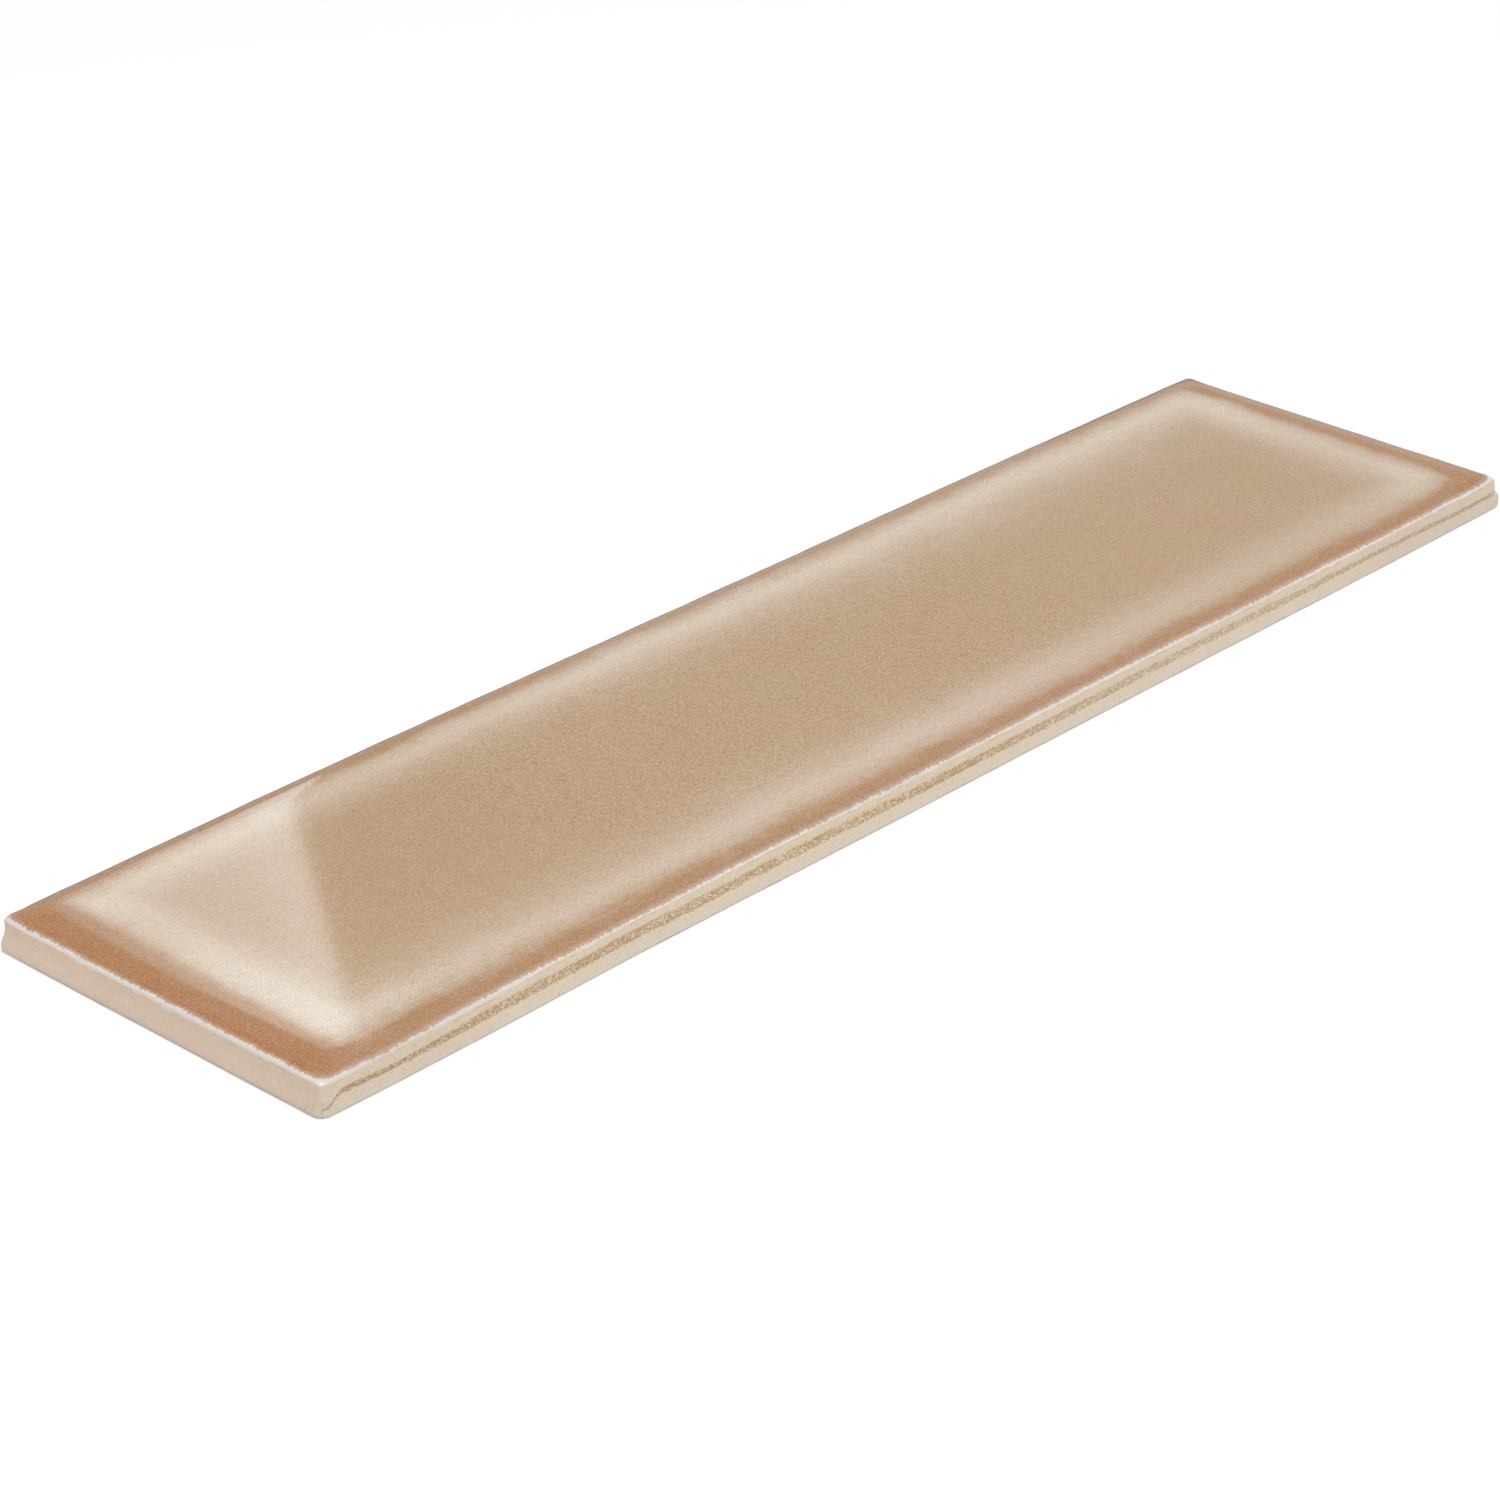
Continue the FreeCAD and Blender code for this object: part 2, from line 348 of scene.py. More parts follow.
class Edge:
    """What differs from station to station round the tile, and the rings of points made from it."""

    def __init__(self):
        outline = ring(0, LIP_CORNER_RADII)
        x, y = outline[:, 0], outline[:, 1]
        near, far, left, right = side_weights(outline)
        tangent = np.roll(outline, -1, 0) - np.roll(outline, 1, 0)
        tangent /= np.linalg.norm(tangent, axis=1)[:, None]
        self.inward = np.stack([-tangent[:, 1], tangent[:, 0]], 1)
        glaze = near * smooth_curve(NEAR_EDGE_WANDER, x) + far * smooth_curve(FAR_EDGE_WANDER, x)
        glaze += right * smooth_curve(RIGHT_EDGE_WANDER, y)
        self.glaze_wander = glaze + ripples(outline, EDGE_RIPPLES)
        lip = near * smooth_curve(NEAR_LIP_WANDER, x) + left * smooth_curve(LEFT_LIP_WANDER, y)
        self.lip_wander = np.clip(lip + (LIP_INSET + ripples(outline, LIP_RIPPLES)), 0, MOST_LIP_INSET)
        self.foot = corner_share(outline, FOOT_CORNER_RADII, FOOT_RADIUS, FOOT_CORNER_REACH)
        self.batter = corner_share(outline, (0, BATTER, 0, 0), 0, BATTER_REACH)
        self.flared = 1 - smoothstep(*FLARE_REACH, x + HALF_LENGTH)
        self.seam = near * (np.maximum(smooth_curve(SEAM_HEIGHT, x), LEDGE_LOWEST) - LEDGE_MIDDLE)
        self.burr = near * ripples(outline, BURR_RIPPLES)

    def shift(self, inset, z, opening):
        """How much further in than the plain profile each station is."""
        on_ledge = smoothstep(LIP_TOP, SHOULDER_TOP, z)
        on_flare = smoothstep(FLARE_BOTTOM, FLARE_TOP, z)
        up = on_ledge + self.flared * (on_flare - on_ledge)
        inside = 1 - smoothstep(*WANDER_FADE, opening)
        shift = up * inside * self.glaze_wander + (1 - up) * self.lip_wander
        shift = shift + smoothstep(SHOULDER_TOP, THICKNESS, z) * inside * self.batter
        if z <= FOOT_RADIUS:
            shift = shift + inset * (self.foot / FOOT_RADIUS - 1)
        elif z < WALL_TOP:
            ledge, flare = LIP_PROUD * on_ledge, LIP_PROUD * on_flare
            shift = shift + (1 - self.flared) * (ledge - inset) + self.flared * (flare - inset)
            shift = shift + self.burr * up * (1 - up) * 4  # in full halfway up the ledge
        return np.maximum(shift, LEAST_INSET - inset)

    def height(self, z):
        """How high each station is where the plain profile is at z."""
        if z <= FOOT_RADIUS:
            rise = z * (self.foot / FOOT_RADIUS - 1)
        else:
            rise = (self.foot - FOOT_RADIUS) * max(LIP_TOP - z, 0) / (LIP_TOP - FOOT_RADIUS)
        moved = smoothstep(LEDGE_SHIFT_BOTTOM, LIP_TOP, z)
        moved = moved * (1 - smoothstep(SHOULDER_TOP, LEDGE_SHIFT_TOP, z))
        return z + rise + self.seam * moved

    def ring(self, inset, z, opening, radii):
        """The points of the ring at one place of the profile."""
        plan = ring(inset, radii) + self.inward * self.shift(inset, z, opening)[:, None]
        return np.column_stack([plan, self.height(z)])


def flat_patch(last):
    """The flat of the face, a patch spanned between the four stretches of the last ring."""
    bottom = last[: COUNT_X + 1]
    right_side = last[COUNT_X: COUNT_X + COUNT_Y + 1]
    top = last[COUNT_X + COUNT_Y: 2 * COUNT_X + COUNT_Y + 1][::-1]
    left_side = np.concatenate([last[2 * COUNT_X + COUNT_Y:], last[:1]])[::-1]
    u = np.linspace(0, 1, COUNT_X + 1)[None, :, None]
    v = np.linspace(0, 1, COUNT_Y + 1)[:, None, None]
    patch = (1 - v) * bottom[None] + v * top[None] + (1 - u) * left_side[:, None] + u * right_side[:, None]
    patch -= (1 - u) * (1 - v) * bottom[0] + u * (1 - v) * bottom[-1]
    patch -= (1 - u) * v * top[0] + u * v * top[-1]
    return patch[1:-1, 1:-1].reshape(-1, 3)


def tile_faces(rings):
    """The faces between the rings, those of the flat of the face, and the flat back."""
    faces = []
    for start in range(0, (rings - 1) * STATIONS, STATIONS):
        for i in range(STATIONS):
            k = (i + 1) % STATIONS
            faces.append((start + i, start + k, start + STATIONS + k, start + STATIONS + i))
    last_ring = (rings - 1) * STATIONS
    inner = rings * STATIONS + np.arange((COUNT_X - 1) * (COUNT_Y - 1))
    index = np.zeros((COUNT_Y + 1, COUNT_X + 1), int)
    index[1:-1, 1:-1] = inner.reshape(COUNT_Y - 1, COUNT_X - 1)
    index[0, :] = last_ring + np.arange(COUNT_X + 1)
    index[:, -1] = last_ring + COUNT_X + np.arange(COUNT_Y + 1)
    index[-1, ::-1] = last_ring + COUNT_X + COUNT_Y + np.arange(COUNT_X + 1)
    index[::-1, 0] = last_ring + (2 * COUNT_X + COUNT_Y + np.arange(COUNT_Y + 1)) % STATIONS
    for j in range(COUNT_Y):
        for i in range(COUNT_X):
            faces.append((index[j, i], index[j, i + 1], index[j + 1, i + 1], index[j + 1, i]))
    faces.append(tuple(range(STATIONS))[::-1])
    return [tuple(int(n) for n in face) for face in faces]


def store_masks(mesh, points, rim):
    """Keep with each point what the material needs to know there."""
    x, y, z = points[:, 0], points[:, 1], points[:, 2]
    near, far, left, right = side_weights(points)
    flow, halo = glaze_flow(points)
    hidden = far * smoothstep(*HIDDEN_RIM_FADE, x + HALF_LENGTH)
    hidden += right * smoothstep(*HIDDEN_RIM_FADE, y + HALF_WIDTH)
    rim_drop = near * smooth_curve(RIM_DROP, x) + left * smooth_curve(LEFT_RIM_DROP, y)
    right_corner = np.hypot(x - HALF_LENGTH, y + HALF_WIDTH)
    rim_sink = near * smooth_curve(NEAR_RIM_SINK, x) + left * smooth_curve(LEFT_RIM_SINK, y)
    rim_sink -= RIGHT_CORNER_RIM * smoothstep(*RIGHT_CORNER_RIM_FADE, right_corner)
    bare_corner = smoothstep(*BARE_CORNER_FADE, right_corner) * smoothstep(*BARE_CORNER_Z, z)
    masks = {"rim": rim, "flow": flow, "halo": halo, "end_side": left + right,
             "seam": pressing_seam(points, near), "rim_drop": rim_drop + HIDDEN_RIM_DROP * hidden,
             "rim_sink": rim_sink, "bare_corner": bare_corner, "away": far + right}
    for name, values in masks.items():
        layer = mesh.attributes.new(name, "FLOAT", "POINT")
        layer.data.foreach_set("value", values.astype(np.float32))


def tile_mesh():
    """The whole tile as one closed surface."""
    inset, height, rim = edge_profile()
    opening = (inset - LIP_PROUD) / CROWN_WIDTH
    edge = Edge()
    rings = [edge.ring(*at) for at in zip(inset, height, opening, ring_radii(inset, opening))]
    inner = flat_patch(rings[-1])
    points = np.concatenate([*rings, inner])
    points[:, 2] -= left_margin_drop(points)
    mesh = bpy.data.meshes.new("wall_tile_fired")
    mesh.from_pydata((points * MM).tolist(), [], tile_faces(len(rings)))
    flat_rim = np.full(len(inner), rim[-1] + FLAT_RIM)
    store_masks(mesh, points, np.concatenate([np.repeat(rim, STATIONS), flat_rim]))
    mesh.update()
    mesh.shade_smooth()
    return mesh


class Nodes:
    """The nodes of a material, a world or a lamp, added and joined in short calls."""

    def __init__(self, owner, keep=False):
        owner.use_nodes = True
        self.tree = owner.node_tree
        if not keep:
            self.tree.nodes.clear()

    def node(self, kind, **settings):
        node = self.tree.nodes.new(kind)
        for name, value in settings.items():
            setattr(node, name, value)
        return node

    def set(self, socket, value):
        """Link an output to the socket, or give it a plain value."""
        if isinstance(value, bpy.types.NodeSocket):
            self.tree.links.new(value, socket)
        elif isinstance(value, tuple) and len(value) == 3 and len(socket.default_value) == 4:
            socket.default_value = (*value, 1)
        else:
            socket.default_value = value

    def join(self, kind, *values, **settings):
        """The output of a node whose first inputs are these values."""
        node = self.node(kind, **settings)
        for socket, value in zip(node.inputs, values):
            self.set(socket, value)
        return node.outputs[0]

    def math(self, operation, *values, clamp=False):
        return self.join("ShaderNodeMath", *values, operation=operation, use_clamp=clamp)

    def plus(self, first, second):
        return self.math("ADD", first, second)

    def minus(self, first, second):
        return self.math("SUBTRACT", first, second)

    def times(self, first, second):
        return self.math("MULTIPLY", first, second)

    def attribute(self, name):
        return self.node("ShaderNodeAttribute", attribute_name=name).outputs["Fac"]

    def split(self, vector):
        """The X, Y and Z of a vector."""
        node = self.node("ShaderNodeSeparateXYZ")
        self.set(node.inputs[0], vector)
        return node.outputs

    def place(self, stretch=(1, 1, 1)):
        """Object coordinates, in millimetres times stretch."""
        where = self.node("ShaderNodeTexCoord").outputs["Object"]
        return self.join("ShaderNodeVectorMath", where, [k / MM for k in stretch], operation="MULTIPLY")

    def noise(self, place, size, detail=2.0, roughness=0.5):
        """Noise between 0 and 1 with patches about size millimetres across."""
        node = self.node("ShaderNodeTexNoise")
        self.set(node.inputs["Vector"], place)
        node.inputs["Scale"].default_value = 1 / size
        node.inputs["Detail"].default_value = detail
        node.inputs["Roughness"].default_value = roughness
        return node.outputs["Fac"]

    def grains(self, place, size):
        """Two random values between 0 and 1 for each grain about size millimetres across."""
        node = self.node("ShaderNodeTexVoronoi")
        self.set(node.inputs["Vector"], place)
        node.inputs["Scale"].default_value = 1 / size
        split = self.node("ShaderNodeSeparateColor")
        self.set(split.inputs[0], node.outputs["Color"])
        return split.outputs[0], split.outputs[1]

    def around_zero(self, value, amount):
        """value from 0 to 1 made to go as far below zero as above, by half of amount."""
        return self.times(self.minus(value, 0.5), amount)

    def step(self, value, low, high, most=1.0):
        """0 where value is at low, most where it is at high, smooth between."""
        node = self.node("ShaderNodeMapRange", interpolation_type="SMOOTHSTEP")
        self.set(node.inputs["Value"], value)
        self.set(node.inputs["From Min"], low)
        self.set(node.inputs["From Max"], high)
        self.set(node.inputs["To Max"], most)
        return node.outputs[0]

    def band(self, value, up, down):
        """1 between a step up and a step down, each as (0 here, 1 here)."""
        return self.times(self.step(value, *up), self.step(value, *down))

    def between(self, value, low, high):
        """value from 0 to 1 spread from low to high."""
        node = self.node("ShaderNodeMapRange")
        self.set(node.inputs["Value"], value)
        node.inputs["To Min"].default_value = low
        node.inputs["To Max"].default_value = high
        return node.outputs[0]

    def mix(self, factor, first, second, blend="MIX"):
        """first where factor is 0 and second where it is 1."""
        node = self.node("ShaderNodeMix", data_type="RGBA", blend_type=blend)
        self.set(node.inputs["Factor"], factor)
        self.set(node.inputs[6], first)
        self.set(node.inputs[7], second)
        return node.outputs[2]

    def tint(self, factor, colour, by):
        """The colour multiplied by another where factor is 1."""
        return self.mix(factor, colour, by, "MULTIPLY")

    def grainy(self, colour, gain):
        """Brighten the colour by gain, and by a little plain grey with it."""
        grey = self.times(self.minus(gain, 1.0), GRAIN_GREY)
        return self.join("ShaderNodeVectorMath", colour, gain, grey, operation="MULTIPLY_ADD")

    def brighten(self, colour, gain):
        node = self.node("ShaderNodeVectorMath", operation="SCALE")
        self.set(node.inputs[0], colour)
        self.set(node.inputs["Scale"], gain)
        return node.outputs[0]

    def ramp(self, value, start, end, stops):
        """Colours, or levels of grey, at values from start to end."""
        spread = self.node("ShaderNodeMapRange")
        self.set(spread.inputs["Value"], value)
        spread.inputs["From Min"].default_value = start
        spread.inputs["From Max"].default_value = end
        node = self.node("ShaderNodeValToRGB")
        self.set(node.inputs["Fac"], spread.outputs[0])
        elements = node.color_ramp.elements
        while len(elements) < len(stops):
            elements.new(0.5)
        for element, (at, colour) in zip(elements, stops):
            element.position = (at - start) / (end - start)
            element.color = (*colour, 1) if isinstance(colour, tuple) else (colour, colour, colour, 1)
        return node.outputs["Color"]

    def surface(self, kind, shader):
        """End in the output node of this kind."""
        self.set(self.node(kind).inputs["Surface"], shader)


class TileNodes(Nodes):
    """The nodes of the tile, with the values that all parts of its look share."""

    def __init__(self, material):
        super().__init__(material)
        self.here = self.place()
        self.x, self.y, self.z = self.split(self.here)
        self.rim = self.attribute("rim")
        self.end_side = self.attribute("end_side")
        self.long_side = self.minus(1.0, self.end_side)
        self.streak = self.side_noise(STREAK_LONG, STREAK_END, STREAK_SIZE)

    def side_noise(self, stretch_long, stretch_end, size):
        """Noise that is stretched one way on the long sides and another way on the ends."""
        on_long = self.noise(self.place(stretch_long), size)
        on_end = self.noise(self.place(stretch_end), size)
        return self.mix(self.end_side, on_long, on_end)

    def mottle(self, size, amount, *detail):
        """Noise as far below zero as above."""
        return self.around_zero(self.noise(self.here, size, *detail), amount)

    def patches(self, size, low, high, *detail):
        """0 where noise is at low, 1 where it is at high."""
        return self.step(self.noise(self.here, size, *detail), low, high)


# Colours are linear light
CARAMEL_DEEP = (0.376, 0.151, 0.044)
CARAMEL = (0.376, 0.179, 0.065)
CARAMEL_INNER = (0.375, 0.190, 0.080)
FIELD = (0.421, 0.270, 0.146)
PALE = (0.635, 0.530, 0.425)
OLIVE = (0.42, 0.33, 0.14)
ROSE = (0.50, 0.25, 0.19)
SPARK_GOLD = (0.68, 0.55, 0.38)
RIM_WHITE = (0.728, 0.665, 0.615)
BISCUIT = (0.762, 0.656, 0.522)
BISCUIT_END = (0.768, 0.617, 0.482)
BISCUIT_WARM = (0.74, 0.54, 0.40)
SEAM_BROWN = (0.410, 0.255, 0.115)
SPECK_BROWN = (0.300, 0.215, 0.130)
FOOT_SHADOW_GREY = (0.360, 0.345, 0.330)
LEFT_END_TINT = (0.978, 0.950, 0.905)
# Painted shade and painted reflection on the margins of the glaze
AWAY_PAINTED_SHADE = (0.850, 0.970, 1.040)
PAINTED_SHEEN_GREY = (0.620, 0.620, 0.560)
EDGE_SHADE = (0.440, 0.440, 0.500)
RIGHT_EDGE_SHADE = (0.740, 0.760, 0.860)
LEFT_INNER_TINT = (1.000, 0.990, 0.960)
LEFT_FAR_TINT = (0.970, 0.955, 0.940)
NEAR_END_TINT = (0.962, 0.945, 0.948)
UPPER_TINT = (1.000, 0.990, 0.960)
ARRIS_PAINTED_SHADE = (0.900, 0.895, 0.910)

# The values of the material are in millimetres where they are sizes or places. A pair with _X, _Y, _Z,
# _RIM or _FLOW in its name is where a soft mask is 0 and where it is 1 along that measure.
FLOW_RANGE = (-1.2, 1.4)
GLAZE_STOPS = [(-1.0, CARAMEL_DEEP), (-0.88, CARAMEL), (-0.64, CARAMEL_INNER), (-0.30, FIELD)]
PALE_STOPS = [(-0.66, 0), (-0.52, 0.22), (-0.38, 0.55), (-0.08, 1), (0.08, 1), (0.5, 0.5), (0.85, 0.18),
              (1.25, 0)]
STREAK_LONG = (1, 0.2, 0.2)  # the streaks run across the edge and are finest along it
STREAK_END = (0.2, 1, 0.2)
STREAK_SIZE = 0.35
BAND_LONG = (0.06, 1, 1)
BAND_END = (1, 0.06, 1)
BAND_SIZE = 1.0
CLOUDS = (14, 0.32)  # size and how much flow
WISPS = (3.0, 0.20)
DRAG = 0.12
BANDS = 0.20
LEFT_END_X, LEFT_END_Y = (-45, -75), ((-14, 8), (34, 28))
LEFT_FAR_X, LEFT_FAR_Y = ((-134, -124), (-50, -85)), ((12, 20), (32, 27))
LEFT_INNER_X, LEFT_INNER_Y, LEFT_INNER_FLOW = (-120, -132), (26, 12), ((-0.25, -0.45), (-0.95, -0.80))
HUE_PATCHES = (11, 0.35, 0.65)
HUE_SHARE = 0.06
GRAIN_SIZE = 0.17
GRAIN_GREY = 0.26
GRAIN_X, GRAIN_FLOW = ((-90, -60), (75, 30)), (0.2, 0.9)
GRAIN_STRENGTH = (0.26, 0.38)
SPARK_CHANCE = (0.978, 0.988)
SPARK_FLOW = (-0.3, -0.7)
SPARK_STRENGTH = (0.32, 0.45)


def uneven_flow(s):
    """The flow of the glaze, with its clouds, wisps, drag marks and bands."""
    drag = s.around_zero(s.streak, DRAG)
    bands = s.around_zero(s.side_noise(BAND_LONG, BAND_END, BAND_SIZE), BANDS)
    uneven = s.plus(s.plus(s.mottle(*CLOUDS), s.mottle(*WISPS)), s.plus(drag, bands))
    return s.plus(s.attribute("flow"), uneven)


def glaze_colour(s, flow):
    """A caramel border, a pale line inside it and a beige field."""
    glaze = s.ramp(flow, *FLOW_RANGE, GLAZE_STOPS)
    left_end = s.times(s.step(s.x, *LEFT_END_X), s.band(s.y, *LEFT_END_Y))
    glaze = s.tint(left_end, glaze, LEFT_END_TINT)
    pale_line = s.times(s.ramp(flow, *FLOW_RANGE, PALE_STOPS), s.attribute("halo"))
    glaze = s.mix(pale_line, glaze, PALE)
    left_far = s.times(s.band(s.x, *LEFT_FAR_X), s.band(s.y, *LEFT_FAR_Y))
    glaze = s.tint(left_far, glaze, LEFT_FAR_TINT)
    left_inner = s.times(s.step(s.x, *LEFT_INNER_X), s.step(s.y, *LEFT_INNER_Y))
    left_inner = s.times(s.band(flow, *LEFT_INNER_FLOW), left_inner)
    glaze = s.tint(left_inner, glaze, LEFT_INNER_TINT)
    return s.mix(HUE_SHARE, glaze, s.mix(s.patches(*HUE_PATCHES), OLIVE, ROSE))


def glaze_grain(s, glaze, flow):
    """Fine grain, strongest in the middle of the field, and golden sparks in the caramel."""
    grain, chance = s.grains(s.here, GRAIN_SIZE)
    strongest = s.times(s.band(s.x, *GRAIN_X), s.step(flow, *GRAIN_FLOW))
    strength = s.between(strongest, *GRAIN_STRENGTH)
    glaze = s.grainy(glaze, s.math("MULTIPLY_ADD", s.minus(grain, 0.5), strength, 1.0))
    sparks = s.times(s.step(chance, *SPARK_CHANCE), s.between(s.step(flow, *SPARK_FLOW), *SPARK_STRENGTH))
    return s.mix(sparks, glaze, SPARK_GOLD)


# Painted reflection as a paler grey glaze along the margins, and painted shade as a cooler tint on the far
# and right-hand margins
AWAY_SHEEN_RIM, AWAY_SHEEN_X = (4.2, 2.8), (-70, 10)
AWAY_SHEEN_SHARE = 0.09
AWAY_SHEEN_AT_LEFT = 0.15  # the part of it that is there at the left end
NEAR_SHEEN_RIM, NEAR_SHEEN_X = (4.5, 2.0), (110, 60)
NEAR_SHEEN_SHARE = 0.042
AWAY_SHADE_RIM = (2.6, 0.9)


def painted_sheen_and_shade(s, glaze):
    """Painted reflection: paler and greyer glaze next to the arris, most along the far and the right-hand
    side, and painted shade as a cooler, darker tint on those two sides.
    """
    away = s.attribute("away")
    sheen = s.times(s.step(s.rim, *AWAY_SHEEN_RIM), s.between(away, 0.0, AWAY_SHEEN_SHARE))
    sheen = s.times(sheen, s.between(s.step(s.x, *AWAY_SHEEN_X), AWAY_SHEEN_AT_LEFT, 1.0))
    near_side = s.math("SUBTRACT", 1.0, s.plus(s.end_side, away), clamp=True)
    near_sheen = s.times(s.step(s.rim, *NEAR_SHEEN_RIM), near_side)
    near_sheen = s.times(near_sheen, s.between(s.step(s.x, *NEAR_SHEEN_X), 0.0, NEAR_SHEEN_SHARE))
    glaze = s.mix(s.plus(sheen, near_sheen), glaze, PAINTED_SHEEN_GREY)
    return s.tint(s.times(away, s.step(s.rim, *AWAY_SHADE_RIM)), glaze, AWAY_PAINTED_SHADE)


RIM_RAGGED = 1.15
RIM_UNEVEN = (2.2, 0.35)
BARE_RIM = (0.52, 0.10)
RIM_MOTTLE_SIZE = 1.2
RIM_MOTTLE = (0.90, 1.10)
# Painted shade on the rim towards the left of the long sides, and painted light on it over the far half of
# the ends
RIM_SHADE_X, RIM_PAINTED_SHADE = (-104, -118), -0.07
RIM_LIGHT_Y, RIM_PAINTED_LIGHT = (-8, 8), 0.05


def bare_rim(s):
    """The white rim along the arris: how far in a point is of it, its mask and its colour."""
    ragged = s.plus(s.around_zero(s.streak, RIM_RAGGED), s.mottle(*RIM_UNEVEN))
    rim_top = s.plus(s.plus(s.rim, s.attribute("rim_sink")), ragged)
    colour = s.brighten(RIM_WHITE, s.between(s.noise(s.here, RIM_MOTTLE_SIZE), *RIM_MOTTLE))
    # Painted shade and painted light on the rim
    left_near = s.times(s.step(s.x, *RIM_SHADE_X), s.long_side)
    left_rear = s.times(s.end_side, s.step(s.y, *RIM_LIGHT_Y))
    painted_light = s.plus(s.times(left_near, RIM_PAINTED_SHADE), s.times(left_rear, RIM_PAINTED_LIGHT))
    return rim_top, s.step(rim_top, *BARE_RIM), s.brighten(colour, s.plus(painted_light, 1.0))


THIN_GLAZE_FROM = (1.7, 1.2)  # mm in from the arris on the long sides and on the ends
THIN_GLAZE_TO = 0.3
THIN_GLAZE_SHARE = 0.30
SHADE_START_RIM = (0.0, 0.18)
FAR_SHADE_RIM, FAR_SHADE_X, FAR_SHADE_Y = (1.2, 0.5), (-149.4, -146), (30, 34)
FAR_SHADE_WIDER_X, FAR_SHADE_WIDER = (96, 114), 0.35
RIGHT_SHADE_RIM, RIGHT_SHADE_X, RIGHT_SHADE_Y = (1.4, 0.4), (146, 147.5), ((-36, -34), (33, 30))


def face_colour(s, rim_top, bare, rim_colour):
    """The glaze, thin next to the bare rim, with a fine shade along the far and the right-hand edge."""
    flow = uneven_flow(s)
    glaze = painted_sheen_and_shade(s, glaze_grain(s, glaze_colour(s, flow), flow))
    thin = s.step(rim_top, s.between(s.end_side, *THIN_GLAZE_FROM), THIN_GLAZE_TO, THIN_GLAZE_SHARE)
    face = s.mix(bare, s.mix(thin, glaze, rim_colour), rim_colour)
    past_arris = s.step(s.rim, *SHADE_START_RIM)
    far_rim = s.minus(s.rim, s.times(s.step(s.x, *FAR_SHADE_WIDER_X), FAR_SHADE_WIDER))
    far_edge = s.times(s.step(far_rim, *FAR_SHADE_RIM), past_arris)
    far_edge = s.times(far_edge, s.times(s.step(s.y, *FAR_SHADE_Y), s.step(s.x, *FAR_SHADE_X)))
    face = s.tint(far_edge, face, EDGE_SHADE)
    right_edge = s.times(s.step(s.rim, *RIGHT_SHADE_RIM), past_arris)
    right_edge = s.times(s.times(right_edge, s.step(s.x, *RIGHT_SHADE_X)), s.band(s.y, *RIGHT_SHADE_Y))
    return s.tint(right_edge, face, RIGHT_EDGE_SHADE)


NEAR_LEFT_X, NEAR_RIGHT_X = (-108, -122), (96, 118)
UPPER_Z = (3.4, 4.4)
BISCUIT_NOISE = (5.0, 3, 0.6)  # size, detail and roughness
BISCUIT_MOTTLE = (0.965, 1.035)
GRIT_SIZE = 0.22
GRIT_MOTTLE = (0.945, 1.055)
WARM_PATCHES = (8.0, 0.4, 0.7)
WARM_SHARE = 0.10


def biscuit_colour(s):
    """Cream biscuit, mottled and gritty, and a random value for each grain of grit."""
    biscuit = s.mix(s.end_side, BISCUIT, BISCUIT_END)
    near_ends = s.math("MAXIMUM", s.step(s.x, *NEAR_LEFT_X), s.step(s.x, *NEAR_RIGHT_X))
    biscuit = s.tint(s.times(near_ends, s.long_side), biscuit, NEAR_END_TINT)
    biscuit = s.tint(s.step(s.z, *UPPER_Z), biscuit, UPPER_TINT)
    biscuit = s.brighten(biscuit, s.between(s.noise(s.here, *BISCUIT_NOISE), *BISCUIT_MOTTLE))
    grit, chance = s.grains(s.here, GRIT_SIZE)
    biscuit = s.brighten(biscuit, s.between(grit, *GRIT_MOTTLE))
    return s.mix(s.times(s.patches(*WARM_PATCHES), WARM_SHARE), biscuit, BISCUIT_WARM), chance


LINE_STRETCH, LINE_SIZE, LINE_CLOUDS = (0.4, 1, 1), 1.6, 0.9
LINE_EDGE = (-0.8, 0.4)  # half bands in from the line's edge
LINE_DEEPER_X = ((-149, -142), (60, -20))
LINE_STRENGTH = (0.23, 0.36)
DOT_STRETCH, DOT_SIZE = (0.8, 1, 1), 0.21
DOT_CROWDING = 0.62
DOT_CHANCE = (0.98, 1.06)
DOT_SPREAD = (-5.0, -1.0)  # half bands
DOT_STRENGTH = (0.46, 0.54)
CHIPPED_X, CHIPPED_Y = (-142, -149), (-32, -36)
SPECKS_IN_LINE, SPECKS_IN_CORNER = 0.02, 0.015
SPECK_CHANCE = (0.985, 0.993)
SPECK_SHARE = 0.40


def pressing_line(s, biscuit, chance):
    """A soft brown band sprinkled with dark grains, and how brown it is."""
    seam = s.minus(1.0, s.math("ABSOLUTE", s.attribute("seam")))
    clouds = s.around_zero(s.noise(s.place(LINE_STRETCH), LINE_SIZE), LINE_CLOUDS)
    line = s.step(s.plus(seam, clouds), *LINE_EDGE)
    sprinkle, _ = s.grains(s.place(DOT_STRETCH), DOT_SIZE)
    dots = s.step(s.plus(sprinkle, s.times(line, DOT_CROWDING)), *DOT_CHANCE)
    dots = s.times(dots, s.step(seam, *DOT_SPREAD))
    deeper = s.band(s.x, *LINE_DEEPER_X)
    line_brown = s.times(line, s.between(deeper, *LINE_STRENGTH))
    brown = s.plus(line_brown, s.times(dots, s.between(deeper, *DOT_STRENGTH)))
    biscuit = s.mix(brown, biscuit, SEAM_BROWN)
    chipped = s.times(s.step(s.x, *CHIPPED_X), s.step(s.y, *CHIPPED_Y))
    often = s.plus(s.times(line, SPECKS_IN_LINE), s.times(chipped, SPECKS_IN_CORNER))
    speck = s.step(s.plus(chance, often), *SPECK_CHANCE)
    return s.mix(s.times(speck, SPECK_SHARE), biscuit, SPECK_BROWN), brown


